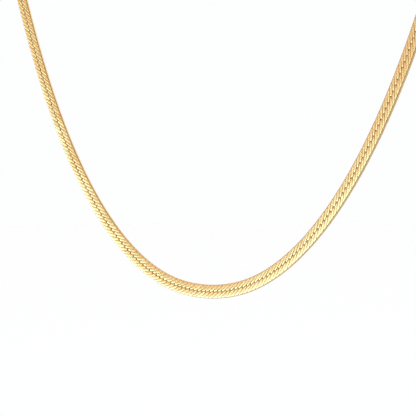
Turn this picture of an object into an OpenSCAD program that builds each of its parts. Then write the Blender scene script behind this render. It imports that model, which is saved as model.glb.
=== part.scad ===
// Herringbone chain: a flat woven gold band that hangs as one closed loop round the neck.
// Millimetres. +X is right, -Y is the front, +Z is up.
// The origin is the middle of the clasp's inner face, where the loop rests on the nape.

/* [Band] */
// Width of the woven band across its face
band_w = 3.0; // [2.6:0.1:3.6]
// Thickness of the band over the crest of a row of links
band_t = 0.56; // [0.4:0.02:0.8]

/* [Hanging front] */
// Size of the catenary that the front hangs in
hang_a = 35.4; // [32:0.1:40]
// How much the band's stiffness across its width opens the lowest point
stiff_a = 8.1; // [0:0.1:12]
// How far along the band that stiffness reaches
stiff_reach = 12; // [8:0.5:16]
// Length of band from the lowest point to where a side leaves the hanging plane
front_half = 103.7; // [96:0.1:110]
// Turn of the face about the band's length, towards the inside of the loop
face_lean = 10; // [0:0.5:16]

/* [Clasp] */
// Length of the clasp along the band
clasp_l = 9; // [8:0.5:12]
// Wall of the clasp beside each edge of the band
side_wall = 0.5; // [0.4:0.05:0.8]
// Wall of the clasp over each face of the band
face_wall = 0.6; // [0.4:0.05:0.8]
// Depth of the socket that each end of the band sits in
socket_d = 2.5; // [1.5:0.1:3]
// Clearance round the band in its socket
socket_gap = 0.12; // [0.1:0.01:0.15]

/* [Hidden] */

gold = [0.93, 0.76, 0.42];
clasp_gold = [0.90, 0.72, 0.38];

// Half of the band's outline in section, from the outer edge to the inner one.
// Each row: place across the half width, height over the half thickness.
SECTION = [
    [-1.00, 0.40],
    [-0.90, 0.84],
    [-0.50, 1.00],
    [ 0.00, 0.82],
    [ 0.50, 1.00],
    [ 0.90, 0.84],
    [ 1.00, 0.40]
];
ACROSS = 0;
HEIGHT = 1;

half_turn = 180;
front_steps = 44;
back_steps = 58;

// Slope of the hanging front at a length s of band from its lowest point.
function hang_slope(s) = atan(s / (hang_a + stiff_a * exp(-pow(s / stiff_reach, 2))));

// Behind the front, the slope eases to level and the turn to half a turn, u being the part done.
turn_power = 1.8;
side_slope = hang_slope(front_half);
function rise(u) = side_slope * pow(1 - u, 3) * (1 + 3 * u);
function turn(u) = half_turn * (1 - pow(1 - u, turn_power));

// Direction of the band for a slope above level and a turn in plan.
function heading(slope, plan) = [cos(slope) * cos(plan), cos(slope) * sin(plan), sin(slope)];

function sum(list) = list * [for (item = list) 1];

// The way round the back is as long as brings it to the middle of the nape.
front_step = front_half / front_steps;
front_reach = front_step * sum([for (i = [0.5 : front_steps]) cos(hang_slope(i * front_step))]);
back_draw = sum([for (i = [0.5 : back_steps]) heading(rise(i / back_steps), turn(i / back_steps))[0]]);
back_half = -front_reach * back_steps / back_draw;

// The band stops inside the clasp, short of the socket's floor.
end_gap = 0.2;
band_stop = clasp_l / 2 - socket_d + end_gap;
back_step = (back_half - band_stop) / back_steps;
steps = front_steps + back_steps;

// Slope and turn at place i of the right side, in steps from the lowest point.
function back_part(i) = (i - front_steps) * back_step / back_half;
function slope_at(i) = i <= front_steps ? hang_slope(i * front_step) : rise(back_part(i));
function turn_at(i) = i <= front_steps ? 0 : turn(back_part(i));
function step_at(i) = i < front_steps ? front_step : back_step;

// Centreline of the right side, walked step by step from the lowest point.
right_route = [
    for (i = 0, p = [0, 0, 0]; i <= steps;
         p = p + step_at(i) * heading(slope_at(i + 0.5), turn_at(i + 0.5)), i = i + 1) p
];

// The band's own axes: out of its face, and across it towards the inside of the loop.
function level_out(i) = [sin(turn_at(i)), -cos(turn_at(i)), 0];
function inward(i) = cross(level_out(i), heading(slope_at(i), turn_at(i)));
function face_out(i) = level_out(i) * cos(face_lean) + inward(i) * sin(face_lean);
function across(i) = inward(i) * cos(face_lean) - level_out(i) * sin(face_lean);

// The nape, where the loop closes, and the clasp's own size and axis there.
route_end = right_route[steps];
nape = [0, route_end[1], route_end[2]];
mouth_w = band_w + 2 * socket_gap;
mouth_t = band_t + 2 * socket_gap;
clasp_w = mouth_w + 2 * side_wall;
clasp_t = mouth_t + 2 * face_wall;
clasp_out = [0, cos(face_lean), sin(face_lean)];
seat = clasp_out * clasp_t / 2 - nape;

// One ring of the section: the face from edge to edge, then the back the other way.
columns = len(SECTION);
ring_size = 2 * columns;
function ring_point(i, place, height) =
    right_route[i] + across(i) * place * band_w / 2 + face_out(i) * height * band_t / 2;
function right_ring(i) = concat(
    [for (k = [0 : columns - 1]) ring_point(i, SECTION[k][ACROSS], SECTION[k][HEIGHT])],
    [for (k = [columns - 1 : -1 : 0]) ring_point(i, SECTION[k][ACROSS], -SECTION[k][HEIGHT])]
);
function mirrored(points) = [for (p = points) [-p[0], p[1], p[2]]];
function band_ring(i) = i < 0 ? mirrored(right_ring(-i)) : right_ring(i);

// The closed skin between all rings, from the left end of the band to the right end.
rings = 2 * steps + 1;
function corner(ring, k) = ring * ring_size + k % ring_size;
function skin() = [
    for (r = [0 : rings - 2], k = [0 : ring_size - 1])
        each [
            [corner(r, k), corner(r, k + 1), corner(r + 1, k)],
            [corner(r + 1, k), corner(r, k + 1), corner(r + 1, k + 1)]
        ]
];
function strip(ring, k) = [
    corner(ring, k), corner(ring, k + 1), corner(ring, ring_size - 2 - k), corner(ring, ring_size - 1 - k)
];
function end_caps() = [
    for (k = [0 : columns - 2])
        each [[for (j = [3 : -1 : 0]) strip(0, k)[j]], strip(rings - 1, k)]
];

module chain() {
    color(gold)
        translate(seat)
            polyhedron(
                points = [for (i = [-steps : steps]) each band_ring(i)],
                faces = concat(skin(), end_caps())
            );
}

// A rectangle with round corners, centred, made of true circles.
module round_plate(length, width, radius) {
    square([length - 2 * radius, width], center = true);
    square([length, width - 2 * radius], center = true);
    for (x = [-1, 1], y = [-1, 1])
        translate([x * (length / 2 - radius), y * (width / 2 - radius)])
            circle(r = radius, $fn = 48);
}

// Clasp with its length along X, its width along Y and its outer face up.
module clasp_blank() {
    plan_corner = 0.9;
    edge_corner = 0.28 * clasp_t;
    intersection() {
        translate([0, 0, -clasp_t / 2])
            linear_extrude(clasp_t)
                round_plate(clasp_l, clasp_w, plan_corner);
        translate([0, clasp_w / 2, 0])
            rotate([90, 0, 0])
                linear_extrude(clasp_w)
                    round_plate(clasp_l, clasp_t, edge_corner);
    }
}

module clasp_sockets() {
    past = 1;
    for (side = [-1, 1])
        translate([side * (clasp_l / 2 - socket_d / 2 + past / 2), 0, 0])
            cube([socket_d + past, mouth_w, mouth_t], center = true);
}

module clasp() {
    color(clasp_gold)
        translate(clasp_out * clasp_t / 2)
            rotate([face_lean - 90, 0, 0])
                difference() {
                    clasp_blank();
                    clasp_sockets();
                }
}

chain();
clasp();
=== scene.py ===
# Herringbone chain: every woven link as its own closed mesh, the clasp, materials, light and camera.
import math
import bpy
import bmesh
import numpy as np
from mathutils import Matrix, Vector


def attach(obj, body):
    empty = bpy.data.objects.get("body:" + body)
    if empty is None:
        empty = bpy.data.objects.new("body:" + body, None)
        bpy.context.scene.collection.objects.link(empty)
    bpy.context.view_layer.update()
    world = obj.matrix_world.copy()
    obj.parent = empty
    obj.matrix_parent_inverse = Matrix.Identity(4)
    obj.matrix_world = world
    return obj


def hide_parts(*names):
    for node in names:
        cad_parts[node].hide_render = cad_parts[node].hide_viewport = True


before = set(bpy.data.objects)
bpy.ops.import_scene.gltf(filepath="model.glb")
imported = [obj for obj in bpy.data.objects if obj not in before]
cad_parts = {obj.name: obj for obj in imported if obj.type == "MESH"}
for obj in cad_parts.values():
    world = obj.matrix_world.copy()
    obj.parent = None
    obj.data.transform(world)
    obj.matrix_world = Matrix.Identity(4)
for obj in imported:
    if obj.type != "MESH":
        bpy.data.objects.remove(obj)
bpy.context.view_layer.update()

# Metres in a millimetre.
MM = 0.001

# The band, its route and the clasp, in millimetres, as in the part's source.
BAND_W = 3.0
BAND_T = 0.56
HANG_A = 35.4
STIFF_A = 8.1
STIFF_REACH = 12.0
FRONT_HALF = 103.7
TURN_POWER = 1.8
FACE_LEAN = math.radians(10)
CLASP_L = 9.0
SOCKET_D = 2.5
SOCKET_GAP = 0.12
FACE_WALL = 0.6
CLASP_T = BAND_T + 2 * (SOCKET_GAP + FACE_WALL)
END_GAP = 0.2

# Length of a step along the front, and how many steps the way round the back has for each of them.
ROUTE_STEP = 0.02
BACK_STEPS_EACH = 2
# Camber of the band's face, as its fall over the square of the place across.
CAMBER = 0.009


class Route:
    """Centreline of the closed loop, by the length s from the lowest point, right side positive."""

    def __init__(self):
        front_count = round(FRONT_HALF / ROUTE_STEP)
        front_step = FRONT_HALF / front_count
        front_slope = self.hang_slope((np.arange(front_count) + 0.5) * front_step)
        front = self.heading(front_slope, np.zeros(front_count)) * front_step
        back_count = BACK_STEPS_EACH * front_count
        done = (np.arange(back_count) + 0.5) / back_count
        back = self.heading(self.rise(done), self.turn(done))
        # The way round the back is as long as brings it to the middle of the nape.
        self.back_half = -front[:, 0].sum() * back_count / back[:, 0].sum()
        back_step = self.back_half / back_count
        steps = np.concatenate([front, back * back_step])
        self.points = np.concatenate([np.zeros((1, 3)), np.cumsum(steps, axis=0)])
        self.lengths = np.concatenate([
            np.arange(front_count) * front_step,
            FRONT_HALF + np.arange(back_count + 1) * back_step,
        ])
        self.half = FRONT_HALF + self.back_half
        nape = self.points[-1] * [0, 1, 1]
        self.seat = np.array([0, math.cos(FACE_LEAN), math.sin(FACE_LEAN)]) * CLASP_T / 2 - nape

    @staticmethod
    def hang_slope(s):
        """Slope of the hanging front."""
        return np.arctan(s / (HANG_A + STIFF_A * np.exp(-(s / STIFF_REACH) ** 2)))

    def rise(self, done):
        """Slope behind the front, by the part of the way back that is done."""
        return self.hang_slope(FRONT_HALF) * (1 - done) ** 3 * (1 + 3 * done)

    @staticmethod
    def turn(done):
        """Turn in plan behind the front."""
        return math.pi * (1 - (1 - done) ** TURN_POWER)

    @staticmethod
    def heading(slope, turn):
        return np.stack([np.cos(slope) * np.cos(turn), np.cos(slope) * np.sin(turn), np.sin(slope)], -1)

    def place(self, spots):
        """Points in the part's frame, in millimetres, for spots along, across and out of the band."""
        s, across, out = spots[..., 0], spots[..., 1], spots[..., 2] - CAMBER * spots[..., 1] ** 2
        length = np.abs(s)
        point = np.stack([np.interp(length, self.lengths, self.points[:, k]) for k in range(3)], -1)
        done = np.clip((length - FRONT_HALF) / self.back_half, 0, 1)
        slope = np.where(length < FRONT_HALF, self.hang_slope(length), self.rise(done))
        turn = self.turn(done)
        level_out = np.stack([np.sin(turn), -np.cos(turn), np.zeros_like(turn)], -1)
        inward = np.cross(level_out, self.heading(slope, turn))
        face_out = level_out * math.cos(FACE_LEAN) + inward * math.sin(FACE_LEAN)
        face_in = inward * math.cos(FACE_LEAN) - level_out * math.sin(FACE_LEAN)
        point = point + face_in * across[..., None] + face_out * out[..., None]
        point[..., 0] *= np.where(s < 0, -1, 1)
        return point + self.seat


route = Route()
band_end = route.half - (CLASP_L / 2 - SOCKET_D + END_GAP)

# One link, in millimetres: a closed flattened wire that crosses the band's middle twice. On one
# half of the band it lies on the face and on the other half on the back, so its neighbours on
# both sides pass through it. SIDES is how many sides the wire's outline has.
PITCH = 1.2134
WIRE_T = 0.25
SIDES = 16
HALF_W = BAND_W / 2
HALF_T = BAND_T / 2
# Where link number 0 starts along the band, and how far apart a link crosses the middle.
FIRST_LINK = -0.33 * PITCH
CROSSINGS_APART = 2.78 * PITCH

# Where the wire lies flat, how far its inner side and its centre are from the band's middle.
SLOT = HALF_T - WIRE_T
LEVEL = HALF_T - WIRE_T / 2

# The wrap round an edge: where it starts, how square it is, how far the wire runs along the band
# in it, and the degrees of its rings from straight out of the edge.
EDGE_START = HALF_W - HALF_T
EDGE_SQUARENESS = 3.5
EDGE_RUN = 0.16
EDGE_STATIONS = (0, 24, 46, 68)

# Half of the wire's way, from the back of the outer edge through the middle to the face of the
# inner edge. Each row: place across, place along, height as a share of LEVEL, width as a share of
# the pitch, thickness as a share of WIRE_T, and squareness of its section.
WAY = np.array([
    (-EDGE_START, 1.420, -1.00, 0.980, 1.00, 10.0),
    (-0.92, 1.009, -1.00, 0.974, 1.00, 10.0),
    (-0.62, 0.593, -1.00, 0.970, 1.00, 9.0),
    (-0.42, 0.293, -1.00, 0.960, 1.00, 7.0),
    (-0.32, 0.125, -0.99, 0.960, 0.96, 3.0),
    (-0.25, 0.064, -0.91, 0.960, 0.92, 3.0),
    (-0.20, 0.052, -0.78, 0.930, 0.84, 2.8),
    (-0.165, 0.057, -0.52, 0.760, 0.80, 2.6),
    (-0.145, 0.064, -0.20, 0.500, 0.76, 2.6),
    (-0.12, 0.075, 0.34, 0.470, 0.80, 2.5),
    (-0.09, 0.096, 0.78, 0.475, 0.88, 2.5),
    (-0.04, 0.136, 0.95, 0.485, 0.96, 3.2),
    (0.02, 0.185, 1.00, 0.485, 1.00, 3.8),
    (0.10, 0.254, 1.00, 0.510, 1.00, 3.8),
    (0.145, 0.294, 1.00, 0.610, 1.00, 4.2),
    (0.17, 0.318, 1.00, 0.860, 1.00, 5.0),
    (0.24, 0.387, 1.00, 0.950, 1.00, 6.0),
    (0.42, 0.617, 1.00, 0.960, 1.00, 7.0),
    (0.62, 0.911, 1.00, 0.970, 1.00, 9.0),
    (0.92, 1.352, 1.00, 0.974, 1.00, 10.0),
    (EDGE_START, 1.793, 1.00, 0.980, 1.00, 10.0),
])


def wire_section(squareness):
    """The wire's outline, anticlockwise from its right side, in half widths and half thicknesses."""
    angle = (np.arange(SIDES) + 0.5) / SIDES * 2 * math.pi
    outline = np.stack([np.cos(angle), np.sin(angle)], -1)
    return np.sign(outline) * np.abs(outline) ** (2 / squareness)


def wire_ring(along, across, out, normal, width, thick, squareness):
    """The outline round a spot on the wire's way, its thickness along a normal across and out."""
    section = wire_section(squareness)
    off = section[:, 1] * thick / 2
    return np.stack([
        along + section[:, 0] * width / 2,
        across + normal[0] * off,
        out + normal[1] * off,
    ], -1)


def edge_ring(side, degrees):
    """A ring of the wrap round one edge, turned by degrees from straight out of the edge."""
    angle = math.radians(degrees)
    cosine, sine = math.cos(angle), math.sin(angle)
    reach = HALF_T * (cosine ** EDGE_SQUARENESS + sine ** EDGE_SQUARENESS) ** (-1 / EDGE_SQUARENESS)
    outward = np.array([side * cosine, side * sine])
    centre = np.array([side * EDGE_START, 0]) + outward * (SLOT + reach) / 2
    _, along, _, width, _, squareness = WAY[0 if side < 0 else -1]
    along += (1 - degrees / 90) * EDGE_RUN / 2
    return wire_ring(along, *centre, -side * outward, width * PITCH, reach - SLOT, squareness)


def half_link():
    """Rings from the band's outer edge over its back, through its middle and over its face."""
    rings = [edge_ring(-1, degrees) for degrees in EDGE_STATIONS]
    for across, along, height, width, thick, squareness in WAY:
        out, thick = height * LEVEL, thick * WIRE_T
        rings.append(wire_ring(along, across, out, (0, -1), width * PITCH, thick, squareness))
    rings += [edge_ring(1, degrees) for degrees in EDGE_STATIONS[:0:-1]]
    return np.array(rings)


def whole_link():
    """The half link and its twin, turned by half a turn about the link's middle."""
    first = half_link()
    second = first * [-1, -1, 1] + [CROSSINGS_APART, 0, 0]
    second = np.roll(second, SIDES // 2, axis=1)
    return np.concatenate([first, second])


def link_quads(stations):
    """Corner numbers of the closed wire's faces, ring after ring and back to the first ring."""
    i, j = np.meshgrid(np.arange(stations), np.arange(SIDES), indexing="ij")
    after, beside = (i + 1) % stations, (j + 1) % SIDES
    quads = np.stack([i * SIDES + j, i * SIDES + beside, after * SIDES + beside, after * SIDES + j], -1)
    return quads.reshape(-1, 4).tolist()


link = whole_link()
quads = link_quads(len(link))


def stands_proud(spots):
    """1 on the band's skin and 0 where a point lies a wire's thickness or more inside it."""
    across, out = np.abs(spots[..., 1]), np.abs(spots[..., 2])
    past = np.maximum(across - EDGE_START, 0)
    reach = (past ** EDGE_SQUARENESS + out ** EDGE_SQUARENESS) ** (1 / EDGE_SQUARENESS)
    return np.clip(1 - (HALF_T - reach) / WIRE_T, 0, 1)


def cut_at_ends(spots):
    """One straight link's vertices and faces, cut off square and closed where the band ends."""
    builder = bmesh.new()
    corners = [builder.verts.new(spot) for spot in spots.reshape(-1, 3)]
    for quad in quads:
        builder.faces.new([corners[k] for k in quad])
    for side in (-1, 1):
        cut = bmesh.ops.bisect_plane(
            builder,
            geom=builder.verts[:] + builder.edges[:] + builder.faces[:],
            plane_co=(side * band_end, 0, 0),
            plane_no=(side, 0, 0),
            clear_outer=True,
        )
        rims = [item for item in cut["geom_cut"] if isinstance(item, bmesh.types.BMEdge)]
        caps = bmesh.ops.holes_fill(builder, edges=rims, sides=0)["faces"]
        bmesh.ops.triangulate(builder, faces=caps)
    builder.verts.index_update()
    points = np.array([vertex.co for vertex in builder.verts])
    faces = [[vertex.index for vertex in face.verts] for face in builder.faces]
    builder.free()
    return points, faces


# How much the making varies a link's place along the band, its tilt across it and its twist.
ALONG_SPREAD = 0.006
TILT_SPREAD = 0.004
TWIST_SPREAD = 0.008
VARIATION_SEED = 7
rng = np.random.default_rng(VARIATION_SEED)


def varied_links(numbers):
    """Spots of the numbered links on the straight band, each varied a little, and their tones."""
    count = len(numbers)
    along = FIRST_LINK + numbers * PITCH + rng.normal(0, ALONG_SPREAD, count)
    tilt = rng.normal(0, TILT_SPREAD, count)
    twist = rng.normal(0, TWIST_SPREAD, count)
    tones = rng.uniform(0, 1, count)
    middle = CROSSINGS_APART / 2
    spots = np.broadcast_to(link, (count,) + link.shape).copy()
    spots[..., 2] += tilt[:, None, None] * spots[..., 1]
    spots[..., 2] += twist[:, None, None] * (spots[..., 0] - middle - spots[..., 1])
    spots[..., 0] += along[:, None, None]
    return spots, tones


def set_attribute(mesh, name, kind, values):
    """Gives each vertex a value or a vector that the materials read."""
    attribute = mesh.attributes.new(name, kind, "POINT")
    key = "vector" if kind == "FLOAT_VECTOR" else "value"
    attribute.data.foreach_set(key, np.ascontiguousarray(values, np.float32).ravel())


def links_mesh(name, numbers):
    """A mesh of the numbered links, each its own closed skin, placed on the band's route."""
    whole_proud = stands_proud(link).reshape(-1)
    points, faces, prouds, tones = [], [], [], []
    start = 0
    for spots, tone in zip(*varied_links(numbers)):
        if np.abs(spots[..., 0]).max() < band_end:
            link_points, link_faces, link_proud = spots.reshape(-1, 3), quads, whole_proud
        else:
            link_points, link_faces = cut_at_ends(spots)
            link_proud = stands_proud(link_points)
        points.append(link_points)
        faces += [[start + corner for corner in face] for face in link_faces]
        prouds.append(link_proud)
        tones.append(np.full(len(link_points), tone))
        start += len(link_points)
    points = np.concatenate(points)
    mesh = bpy.data.meshes.new(name)
    mesh.from_pydata((route.place(points) * MM).tolist(), [], faces)
    set_attribute(mesh, "weave", "FLOAT_VECTOR", points)
    set_attribute(mesh, "proud", "FLOAT", np.concatenate(prouds))
    set_attribute(mesh, "tone", "FLOAT", np.concatenate(tones))
    mesh.shade_smooth()
    return mesh


# Numbers of the colour mix node's sockets, whose names repeat.
MIX_FACTOR = 0
MIX_A = 6
MIX_B = 7
MIX_RESULT = 2


class Nodes:
    """Short ways to add and join the nodes of one tree."""

    def __init__(self, tree):
        self.nodes, self.links = tree.nodes, tree.links

    def feed(self, socket, value):
        """Joins the socket to another one, or sets it to a plain value."""
        if isinstance(value, bpy.types.NodeSocket):
            self.links.new(value, socket)
        else:
            socket.default_value = value

    def add(self, kind, inputs=(), **settings):
        """A new node with these settings and inputs."""
        node = self.nodes.new(kind)
        for key, value in settings.items():
            setattr(node, key, value)
        for key, value in dict(inputs).items():
            self.feed(node.inputs[key], value)
        return node

    def value_math(self, operation, first, second):
        return self.add("ShaderNodeMath", {0: first, 1: second}, operation=operation).outputs["Value"]

    def vector_math(self, operation, *inputs):
        return self.add("ShaderNodeVectorMath", enumerate(inputs), operation=operation)

    def ranged(self, value, low, high, at_low, at_high, **settings):
        """The value's range from low to high, spread from at_low to at_high."""
        inputs = {"Value": value, "From Min": low, "From Max": high, "To Min": at_low, "To Max": at_high}
        return self.add("ShaderNodeMapRange", inputs, **settings).outputs["Result"]


class Material(Nodes):
    """A new material, its nodes and its shader."""

    def __init__(self, name):
        self.data = bpy.data.materials.new(name)
        self.data.use_nodes = True
        super().__init__(self.data.node_tree)
        self.shader = self.nodes["Principled BSDF"]

    def attribute(self, name, output):
        return self.add("ShaderNodeAttribute", attribute_name=name).outputs[output]

    def noise(self, place, scales, detail=2.0):
        """Noise with its own scale along each axis of the place."""
        stretched = self.vector_math("MULTIPLY", place, scales).outputs["Vector"]
        inputs = {"Vector": stretched, "Scale": 1.0, "Detail": detail}
        return self.add("ShaderNodeTexNoise", inputs).outputs["Fac"]

    def blend(self, factor, first, second):
        inputs = {MIX_FACTOR: factor, MIX_A: first, MIX_B: second}
        return self.add("ShaderNodeMix", inputs, data_type="RGBA").outputs[MIX_RESULT]

    def bump(self, height, strength, distance, **inputs):
        inputs = {"Height": height, "Strength": strength, "Distance": distance, **inputs}
        normal = self.add("ShaderNodeBump", inputs).outputs["Normal"]
        self.feed(self.shader.inputs["Normal"], normal)

    def metal(self, color, roughness):
        """Makes the shader a metal and returns the finished material."""
        self.feed(self.shader.inputs["Metallic"], 1.0)
        self.feed(self.shader.inputs["Base Color"], color)
        self.feed(self.shader.inputs["Roughness"], roughness)
        return self.data


# The gold on the crests; a lighter one painted into the grooves as painted light that lifts the shade
# their second reflections give, which is also the clasp's own gold; and the redder and paler tones that
# it varies to.
GOLD = (0.91, 0.69, 0.34, 1)
PAINTED_FILL_AND_CLASP_GOLD = (0.96, 0.80, 0.46, 1)
ROSY_GOLD = (0.91, 0.65, 0.30, 1)
PALE_GOLD = (0.92, 0.71, 0.37, 1)

# How far a bar on the band's face runs along the band for each millimetre across it.
BAR_SLANT = 1.45

# Scales of the marks, by millimetre along, across and out of the band.
DRAWN_SCALES = (11.0, 0.8, 7.0)
PATCH_SCALES = (0.10, 0.6, 0.6)
SCRATCH_SCALES = (2.2, 26.0, 8.0)
# Scales of the clasp's marks, by metre.
CLASP_RUBBED_SCALES = (500.0, 6000.0, 6000.0)
CLASP_PATCH_SCALES = (250.0, 250.0, 250.0)
CLASP_SCRATCH_SCALES = (1200.0, 3000.0, 14000.0)
LINE_DETAIL = 3.0
SCRATCH_DETAIL = 1.0

# What the marks do. Each row: lowest and highest of what is read, and what it makes of them.
# The first row paints light into the grooves: where the wire lies inside the band, the colour turns to
# the lighter gold, a painted fill against their shade.
PROUD_TO_GOLD = (0.2, 0.85, 0.0, 1.0)
TONE_TO_ROSY = (0.0, 1.0, 0.0, 0.5)
PATCHES_TO_PALE = (0.35, 0.75, 0.0, 0.6)
PROUD_TO_ROUGH = (0.4, 0.95, 0.08, 0.0)
DRAWN_TO_ROUGH = (0.3, 0.7, 0.16, 0.26)
SCRATCHES_TO_ROUGH = (0.60, 0.72, 0.0, 0.10)
SCRATCHES_TO_HEIGHT = (0.60, 0.70, 0.0, -0.6)
CLASP_PATCHES_TO_PALE = (0.35, 0.7, 0.0, 0.7)
CLASP_RUBBED_TO_ROUGH = (0.3, 0.7, 0.10, 0.22)
CLASP_SCRATCHES_TO_HEIGHT = (0.60, 0.72, 0.0, -0.5)

# Strength of the relief, its depth on the links and on the clasp, and the clasp's soft edges.
RELIEF_STRENGTH = 0.25
LINK_RELIEF = 0.02 * MM
CLASP_RELIEF = 0.03 * MM
CLASP_EDGE = 0.18 * MM
EDGE_SAMPLES = 6


def woven_gold():
    """Links' gold: tone by link, drawing marks along the face's bars, worn smooth on the crests, and
    painted light that lifts the grooves.
    """
    m = Material("woven_gold")
    weave = m.attribute("weave", "Vector")
    proud = m.attribute("proud", "Fac")
    tone = m.attribute("tone", "Fac")
    lean = m.vector_math("DOT_PRODUCT", weave, (1.0, -BAR_SLANT, 0.0)).outputs["Value"]
    spot = m.add("ShaderNodeSeparateXYZ", {"Vector": weave}).outputs
    wire = m.add("ShaderNodeCombineXYZ", {"X": lean, "Y": spot["Y"], "Z": spot["Z"]}).outputs["Vector"]
    drawn = m.noise(wire, DRAWN_SCALES, LINE_DETAIL)
    patches = m.noise(weave, PATCH_SCALES)
    scratches = m.noise(weave, SCRATCH_SCALES, SCRATCH_DETAIL)
    # Painted light: the lighter gold in the grooves, where the wire lies inside the band, lifts their
    # shade.
    color = m.blend(m.ranged(proud, *PROUD_TO_GOLD), PAINTED_FILL_AND_CLASP_GOLD, GOLD)
    color = m.blend(m.ranged(tone, *TONE_TO_ROSY), color, ROSY_GOLD)
    color = m.blend(m.ranged(patches, *PATCHES_TO_PALE), color, PALE_GOLD)
    rough = m.value_math("ADD", m.ranged(proud, *PROUD_TO_ROUGH), m.ranged(drawn, *DRAWN_TO_ROUGH))
    rough = m.value_math("ADD", rough, m.ranged(scratches, *SCRATCHES_TO_ROUGH))
    height = m.value_math("ADD", drawn, m.ranged(scratches, *SCRATCHES_TO_HEIGHT))
    m.bump(height, RELIEF_STRENGTH, LINK_RELIEF)
    return m.metal(color, rough)


def clasp_gold():
    """The clasp's gold: polished, with fine rubbing marks, scratches and patches of another tone."""
    m = Material("clasp_gold")
    place = m.add("ShaderNodeTexCoord").outputs["Object"]
    rubbed = m.noise(place, CLASP_RUBBED_SCALES, LINE_DETAIL)
    scratches = m.noise(place, CLASP_SCRATCH_SCALES, SCRATCH_DETAIL)
    patches = m.noise(place, CLASP_PATCH_SCALES)
    color = m.blend(m.ranged(patches, *CLASP_PATCHES_TO_PALE), PAINTED_FILL_AND_CLASP_GOLD, PALE_GOLD)
    rubbed_rough = m.ranged(rubbed, *CLASP_RUBBED_TO_ROUGH)
    rough = m.value_math("ADD", rubbed_rough, m.ranged(scratches, *SCRATCHES_TO_ROUGH))
    height = m.value_math("ADD", rubbed, m.ranged(scratches, *CLASP_SCRATCHES_TO_HEIGHT))
    edges = m.add("ShaderNodeBevel", {"Radius": CLASP_EDGE}, samples=EDGE_SAMPLES).outputs["Normal"]
    m.bump(height, RELIEF_STRENGTH, CLASP_RELIEF, Normal=edges)
    return m.metal(color, rough)


def add_object(name, data):
    item = bpy.data.objects.new(name, data)
    bpy.context.scene.collection.objects.link(item)
    return item


def add_piece(name, mesh, node, material):
    piece = add_object(name, mesh)
    mesh.materials.append(material)
    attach(piece, "root")
    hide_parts(node)


# Pieces of the chain, from its left end to its right end.
STRETCHES = ("left_back", "left_front", "front", "right_front", "right_back")


def add_chain():
    """All links that reach the band, in pieces with about as many links each."""
    gold = woven_gold()
    first = math.ceil((-band_end - link[..., 0].max() - FIRST_LINK) / PITCH)
    last = math.floor((band_end - link[..., 0].min() - FIRST_LINK) / PITCH)
    parts = np.array_split(np.arange(first, last + 1), len(STRETCHES))
    for name, numbers in zip(STRETCHES, parts):
        mesh = links_mesh("chain_" + name, numbers)
        add_piece("chain_" + name, mesh, "chain", gold)


def dress_clasp():
    """The clasp keeps its shape from the frame and gets its own gold."""
    gold = clasp_gold()
    for clasp_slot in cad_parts["clasp"].material_slots:
        clasp_slot.material = gold


# Camera: its measured place in millimetres, the turn of its view, its roll, its lens in
# millimetres and the nearest that it sees in metres.
CAMERA_AT = Vector((188.5631, -261.8307, -119.4584))
CAMERA_AZIMUTH = math.radians(42.88)
CAMERA_ROLL = -0.0134
CAMERA_LENS = 109.17
CAMERA_CLIP = 0.005


def add_camera():
    data = bpy.data.cameras.new("camera")
    data.lens = CAMERA_LENS
    data.clip_start = CAMERA_CLIP
    right = Vector((math.cos(CAMERA_AZIMUTH), math.sin(CAMERA_AZIMUTH), 0))
    back = Vector((math.sin(CAMERA_AZIMUTH), -math.cos(CAMERA_AZIMUTH), 0))
    up = Vector((0, 0, 1))
    turned_right = right * math.cos(CAMERA_ROLL) + up * math.sin(CAMERA_ROLL)
    turned_up = up * math.cos(CAMERA_ROLL) - right * math.sin(CAMERA_ROLL)
    axes = Matrix((turned_right, turned_up, back)).transposed().to_4x4()
    camera = add_object("camera", data)
    camera.matrix_world = Matrix.Translation(CAMERA_AT * MM) @ axes
    bpy.context.scene.camera = camera


# The floor, in metres.
FLOOR_Z = -0.22
FLOOR_RADIUS = 8.0
FLOOR_SIDES = 96
FLOOR_WHITE = (0.97, 0.975, 0.975, 1)
FLOOR_ROUGHNESS = 0.9


def add_floor():
    """A wide white floor below the chain, which the metal doesn't reflect."""
    mesh = bpy.data.meshes.new("floor")
    builder = bmesh.new()
    bmesh.ops.create_circle(builder, cap_ends=True, radius=FLOOR_RADIUS, segments=FLOOR_SIDES)
    builder.to_mesh(mesh)
    builder.free()
    floor = add_object("floor", mesh)
    floor.location = (0, 0, FLOOR_Z)
    floor.visible_glossy = False
    m = Material("floor_white")
    m.feed(m.shader.inputs["Base Color"], FLOOR_WHITE)
    m.feed(m.shader.inputs["Roughness"], FLOOR_ROUGHNESS)
    mesh.materials.append(m.data)


# The studio as the metal reflects it. Angles are in degrees, and an azimuth counts to the left of
# straight ahead. WALL_FRONT, WALL_BACK and the names with SIDEWAYS hold an azimuth, two angles to
# either side of it and the strength at each. HIGH_UPWARD, SOFTBOX_FOOT and SOFTBOX_TOP hold two
# elevations and the strength at each.
WALL_FRONT = (40, 16, 40, 1.0, 0.62)
WALL_BACK = (38, 100, 140, 0.0, 0.08)
# Brighter and darker places on the wall: azimuth, elevation, outer and inner angle, strength.
WALL_SPOTS = [
    (-150, 25, 50, 20, 0.75),
    (-10, 42, 50, 28, -0.38),
    (14, -12, 26, 10, -0.78),
]
# Tinted places on the wall: azimuth, elevation, outer and inner angle, tint.
TINTED_SPOTS = [
    (30, 20, 15, 8, (0.88, 0.58, 0.34)),
    (45, 17, 12, 6, (0.97, 0.70, 0.59)),
    (98, 8, 28, 17, (0.32, 0.30, 0.28)),
    (-155, 27, 45, 24, (0.84, 0.79, 0.86)),
    (-35, -15, 35, 20, (0.72, 0.62, 0.50)),
    (-167, -21, 24, 14, (0.74, 0.45, 0.30)),
]
ROOM_TINT = (1.02, 0.98, 0.94)
# The upper part of the wall, in front and at the sides.
HIGH_TINT = (0.98, 0.75, 0.62)
HIGH_UPWARD = (7, 10.5, 0.0, 1.0)
HIGH_SIDEWAYS = (60, 55, 75, 1.0, 0.0)
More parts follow.
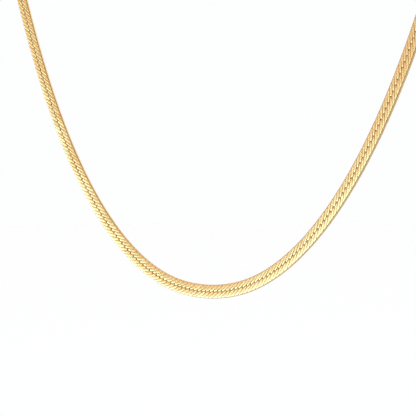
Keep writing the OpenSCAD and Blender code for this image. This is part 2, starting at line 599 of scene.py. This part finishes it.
# A cool softbox that stands before the wall.
SOFTBOX_TINT = (0.70, 1.62, 2.1)
SOFTBOX_FOOT = (-16, -8, 0.0, 1.6)
SOFTBOX_TOP = (5.5, 8.5, 1.0, 0.0)
SOFTBOX_SIDEWAYS = (45, 8, 15, 1.0, 0.0)
# The white that everything but a reflection sees.
SEEN_WHITE = (0.985, 0.99, 0.99)


def toward(azimuth, elevation=0):
    """The direction to a place in the studio, from its azimuth and elevation in degrees."""
    a, e = math.radians(azimuth), math.radians(elevation)
    return -math.sin(a) * math.cos(e), -math.cos(a) * math.cos(e), math.sin(e)


class Studio(Nodes):
    """The world's nodes, with the direction that is looked in and ways to light parts of it."""

    def __init__(self, tree):
        super().__init__(tree)
        self.direction = self.add("ShaderNodeTexCoord").outputs["Generated"]
        self.height = self.add("ShaderNodeSeparateXYZ", {"Vector": self.direction}).outputs["Z"]
        level = self.vector_math("MULTIPLY", self.direction, (1, 1, 0)).outputs["Vector"]
        self.level_way = self.vector_math("NORMALIZE", level).outputs["Vector"]

    def smooth_step(self, value, low, high, at_low, at_high):
        return self.ranged(value, low, high, at_low, at_high, interpolation_type="SMOOTHSTEP")

    def round_step(self, direction, aim, near, far, at_near, at_far):
        """A smooth step by the angle between a direction and an aim."""
        cosine = self.vector_math("DOT_PRODUCT", direction, aim).outputs["Value"]
        near_cosine, far_cosine = math.cos(math.radians(near)), math.cos(math.radians(far))
        return self.smooth_step(cosine, far_cosine, near_cosine, at_far, at_near)

    def above(self, low, high, at_low, at_high):
        """A smooth step by the elevation."""
        low_sine, high_sine = math.sin(math.radians(low)), math.sin(math.radians(high))
        return self.smooth_step(self.height, low_sine, high_sine, at_low, at_high)

    def beside(self, azimuth, near, far, at_near, at_far):
        """A smooth step by the angle to one side or the other of an azimuth."""
        return self.round_step(self.level_way, toward(azimuth), near, far, at_near, at_far)

    def spot(self, azimuth, elevation, outer, inner, strength):
        """The strength round one place, inside the inner angle, fading to none at the outer one."""
        aim = toward(azimuth, elevation)
        return self.round_step(self.direction, aim, inner, outer, strength, 0.0)

    def light(self, tint, strength):
        return self.add("ShaderNodeBackground", {"Color": (*tint, 1), "Strength": strength}).outputs[0]

    def wall(self):
        """Strength of the wall all round, with its brighter and darker places."""
        strength = self.value_math("ADD", self.beside(*WALL_FRONT), self.beside(*WALL_BACK))
        for row in WALL_SPOTS:
            strength = self.value_math("ADD", strength, self.spot(*row))
        return strength

    def softbox(self):
        strength = self.value_math("MULTIPLY", self.above(*SOFTBOX_FOOT), self.above(*SOFTBOX_TOP))
        return self.value_math("MULTIPLY", strength, self.beside(*SOFTBOX_SIDEWAYS))

    def lights(self):
        """All lights that a reflection shows. A tinted place takes its share of wall and softbox."""
        wall, softbox = self.wall(), self.softbox()
        tinted = []
        for *place, tint in TINTED_SPOTS:
            share = self.spot(*place, 1.0)
            part = self.value_math("MULTIPLY", wall, share)
            wall = self.value_math("SUBTRACT", wall, part)
            covered = self.value_math("MULTIPLY", softbox, share)
            softbox = self.value_math("SUBTRACT", softbox, covered)
            tinted.append(self.light(tint, part))
        high = self.value_math("MULTIPLY", self.above(*HIGH_UPWARD), self.beside(*HIGH_SIDEWAYS))
        upper = self.value_math("MULTIPLY", wall, high)
        lower = self.value_math("SUBTRACT", wall, upper)
        room = [self.light(ROOM_TINT, lower), self.light(HIGH_TINT, upper)]
        return room + tinted + [self.light(SOFTBOX_TINT, softbox)]


def light_world():
    """Reflections show the studio's lights, and all else sees plain white."""
    world = bpy.data.worlds.new("studio")
    world.use_nodes = True
    bpy.context.scene.world = world
    studio = Studio(world.node_tree)
    lit, *others = studio.lights()
    for light in others:
        lit = studio.add("ShaderNodeAddShader", {0: lit, 1: light}).outputs["Shader"]
    glossy = studio.add("ShaderNodeLightPath").outputs["Is Glossy Ray"]
    white = studio.light(SEEN_WHITE, 1.0)
    seen = studio.add("ShaderNodeMixShader", {"Fac": glossy, 1: white, 2: lit}).outputs["Shader"]
    studio.feed(studio.nodes["World Output"].inputs["Surface"], seen)
    bpy.context.scene.view_settings.view_transform = "Standard"


# A weak, soft sun from nearly straight above.
SUN_ENERGY = 0.2
SUN_ANGLE = math.radians(40)
SUN_TURN = (math.radians(20), math.radians(-15), 0)


def add_sun():
    data = bpy.data.lights.new("soft_sun", "SUN")
    data.energy = SUN_ENERGY
    data.angle = SUN_ANGLE
    sun = add_object("soft_sun", data)
    sun.rotation_euler = SUN_TURN


add_chain()
dress_clasp()
add_camera()
add_floor()
light_world()
add_sun()
